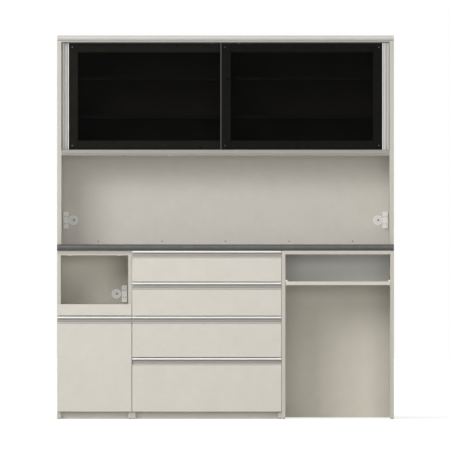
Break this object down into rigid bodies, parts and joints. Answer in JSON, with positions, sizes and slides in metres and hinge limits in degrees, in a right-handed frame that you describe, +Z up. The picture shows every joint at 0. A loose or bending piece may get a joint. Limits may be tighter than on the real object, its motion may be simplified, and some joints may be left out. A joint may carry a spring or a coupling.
{
  "type": "kitchen cupboard",
  "caption": "Tall kitchen cupboard: base units with drawers, a pull-out tray and an open bay under a countertop, and an upper closet with sliding glass doors.",
  "frame": {"origin": "on the floor, in the middle of the width and of the depth", "axes": "+Z up, +Y towards the wall behind, +X to the right seen from the front"},
  "size_m": [1.8, 0.5, 2.049],
  "materials": {
    "cream_board": "satin warm white laminate",
    "slate_top": "matt dark slate laminate",
    "plain_board": "bare pale board",
    "black_frame": "gloss black film",
    "smoked_glass": "smoked",
    "silver_profile": "satin anodised",
    "runner_steel": "zinc plated",
    "screw_steel": "plated",
    "white_plastic": "moulded",
    "grey_plastic": "moulded"
  },
  "bodies": {
    "cupboard": {"countertop": "slate_top", "upper_sides": "cream_board", "upper_top_panel": "cream_board", "upper_bottom_panel": "cream_board", "upper_back_panel": "cream_board", "upper_divider": "cream_board", "upper_shelves": "cream_board", "shelf_supports": "white_plastic", "door_track_top": "silver_profile", "door_track_bottom": "silver_profile", "socket_outlets": "white_plastic", "cord_grommets": "white_plastic", "back_rails": "plain_board", "panel_screws": "screw_steel", "left_unit_carcass": "cream_board", "middle_unit_carcass": "cream_board", "right_unit_carcass": "cream_board", "lower_back_panels": "cream_board", "plinths": "cream_board", "right_unit_shelf": "cream_board", "floor_glides": "grey_plastic", "cabinet_runners": "runner_steel"},
    "left_door": {"left_door_glass": "smoked_glass", "left_door_frame": "black_frame", "left_door_pull": "silver_profile", "left_door_fittings": "silver_profile"},
    "left_roller_outer": {"left_door_roller_outer": "white_plastic"},
    "left_roller_inner": {"left_door_roller_inner": "white_plastic"},
    "right_door": {"right_door_glass": "smoked_glass", "right_door_frame": "black_frame", "right_door_pull": "silver_profile", "right_door_fittings": "silver_profile"},
    "right_roller_outer": {"right_door_roller_outer": "white_plastic"},
    "right_roller_inner": {"right_door_roller_inner": "white_plastic"},
    "left_cap": {"left_grommet_cap": "white_plastic"},
    "right_cap": {"right_grommet_cap": "white_plastic"},
    "niche_cap": {"niche_grommet_cap": "white_plastic"},
    "tray": {"tray_board": "cream_board", "tray_front": "cream_board"},
    "tray_slides": {"tray_runners": "runner_steel"},
    "drawer_1": {"drawer_1_front": "cream_board", "drawer_1_handle": "silver_profile", "drawer_1_box": "plain_board"},
    "drawer_1_slides": {"drawer_1_runners": "runner_steel"},
    "drawer_2": {"drawer_2_front": "cream_board", "drawer_2_handle": "silver_profile", "drawer_2_box": "plain_board"},
    "drawer_2_slides": {"drawer_2_runners": "runner_steel"},
    "drawer_3": {"drawer_3_front": "cream_board", "drawer_3_handle": "silver_profile", "drawer_3_box": "plain_board"},
    "drawer_3_slides": {"drawer_3_runners": "runner_steel"},
    "drawer_4": {"drawer_4_front": "cream_board", "drawer_4_handle": "silver_profile", "drawer_4_box": "plain_board"},
    "drawer_4_slides": {"drawer_4_runners": "runner_steel"},
    "deep_drawer": {"deep_drawer_front": "cream_board", "deep_drawer_handle": "silver_profile", "deep_drawer_box": "plain_board"},
    "deep_drawer_slides": {"deep_drawer_runners": "runner_steel"}
  },
  "joints": [
    {"name": "left_door_slide", "type": "slide", "parent": "cupboard", "child": "left_door", "axis": [1, 0, 0], "range_m": [0, 0.8]},
    {"name": "left_roller_outer_spin", "type": "hinge", "parent": "left_door", "child": "left_roller_outer", "pos_m": [-0.699, -0.135, 1.4393], "axis": [0, 1, 0], "continuous": true},
    {"name": "left_roller_inner_spin", "type": "hinge", "parent": "left_door", "child": "left_roller_inner", "pos_m": [-0.1175, -0.135, 1.4393], "axis": [0, 1, 0], "continuous": true},
    {"name": "right_door_slide", "type": "slide", "parent": "cupboard", "child": "right_door", "axis": [-1, 0, 0], "range_m": [0, 0.8]},
    {"name": "right_roller_outer_spin", "type": "hinge", "parent": "right_door", "child": "right_roller_outer", "pos_m": [0.699, -0.163, 1.4393], "axis": [0, 1, 0], "continuous": true},
    {"name": "right_roller_inner_spin", "type": "hinge", "parent": "right_door", "child": "right_roller_inner", "pos_m": [0.1175, -0.163, 1.4393], "axis": [0, 1, 0], "continuous": true},
    {"name": "left_cap_turn", "type": "hinge", "parent": "cupboard", "child": "left_cap", "pos_m": [-0.817, 0.2267, 1.062], "axis": [0, -1, 0], "continuous": true},
    {"name": "right_cap_turn", "type": "hinge", "parent": "cupboard", "child": "right_cap", "pos_m": [0.817, 0.2267, 1.062], "axis": [0, -1, 0], "continuous": true},
    {"name": "niche_cap_turn", "type": "hinge", "parent": "cupboard", "child": "niche_cap", "pos_m": [-0.586, 0.2267, 0.667], "axis": [0, -1, 0], "continuous": true},
    {"name": "tray_pull", "type": "slide", "parent": "cupboard", "child": "tray", "axis": [0, -1, 0], "range_m": [0, 0.3]},
    {"name": "tray_slides_glide", "type": "slide", "parent": "cupboard", "child": "tray_slides", "axis": [0, -1, 0], "range_m": [0, 0.15]},
    {"name": "drawer_1_pull", "type": "slide", "parent": "cupboard", "child": "drawer_1", "axis": [0, -1, 0], "range_m": [0, 0.4]},
    {"name": "drawer_1_slides_glide", "type": "slide", "parent": "cupboard", "child": "drawer_1_slides", "axis": [0, -1, 0], "range_m": [0, 0.2]},
    {"name": "drawer_2_pull", "type": "slide", "parent": "cupboard", "child": "drawer_2", "axis": [0, -1, 0], "range_m": [0, 0.4]},
    {"name": "drawer_2_slides_glide", "type": "slide", "parent": "cupboard", "child": "drawer_2_slides", "axis": [0, -1, 0], "range_m": [0, 0.2]},
    {"name": "drawer_3_pull", "type": "slide", "parent": "cupboard", "child": "drawer_3", "axis": [0, -1, 0], "range_m": [0, 0.4]},
    {"name": "drawer_3_slides_glide", "type": "slide", "parent": "cupboard", "child": "drawer_3_slides", "axis": [0, -1, 0], "range_m": [0, 0.2]},
    {"name": "drawer_4_pull", "type": "slide", "parent": "cupboard", "child": "drawer_4", "axis": [0, -1, 0], "range_m": [0, 0.4]},
    {"name": "drawer_4_slides_glide", "type": "slide", "parent": "cupboard", "child": "drawer_4_slides", "axis": [0, -1, 0], "range_m": [0, 0.2]},
    {"name": "deep_drawer_pull", "type": "slide", "parent": "cupboard", "child": "deep_drawer", "axis": [0, -1, 0], "range_m": [0, 0.4]},
    {"name": "deep_drawer_slides_glide", "type": "slide", "parent": "cupboard", "child": "deep_drawer_slides", "axis": [0, -1, 0], "range_m": [0, 0.2]}
  ],
  "couplings": [
    {"joint": "left_roller_outer_spin", "follows": "left_door_slide", "rad_per_m": 125},
    {"joint": "left_roller_inner_spin", "follows": "left_door_slide", "rad_per_m": 125},
    {"joint": "right_roller_outer_spin", "follows": "right_door_slide", "rad_per_m": -125},
    {"joint": "right_roller_inner_spin", "follows": "right_door_slide", "rad_per_m": -125},
    {"joint": "tray_slides_glide", "follows": "tray_pull", "ratio": 0.5},
    {"joint": "drawer_1_slides_glide", "follows": "drawer_1_pull", "ratio": 0.5},
    {"joint": "drawer_2_slides_glide", "follows": "drawer_2_pull", "ratio": 0.5},
    {"joint": "drawer_3_slides_glide", "follows": "drawer_3_pull", "ratio": 0.5},
    {"joint": "drawer_4_slides_glide", "follows": "drawer_4_pull", "ratio": 0.5},
    {"joint": "deep_drawer_slides_glide", "follows": "deep_drawer_pull", "ratio": 0.5}
  ]
}
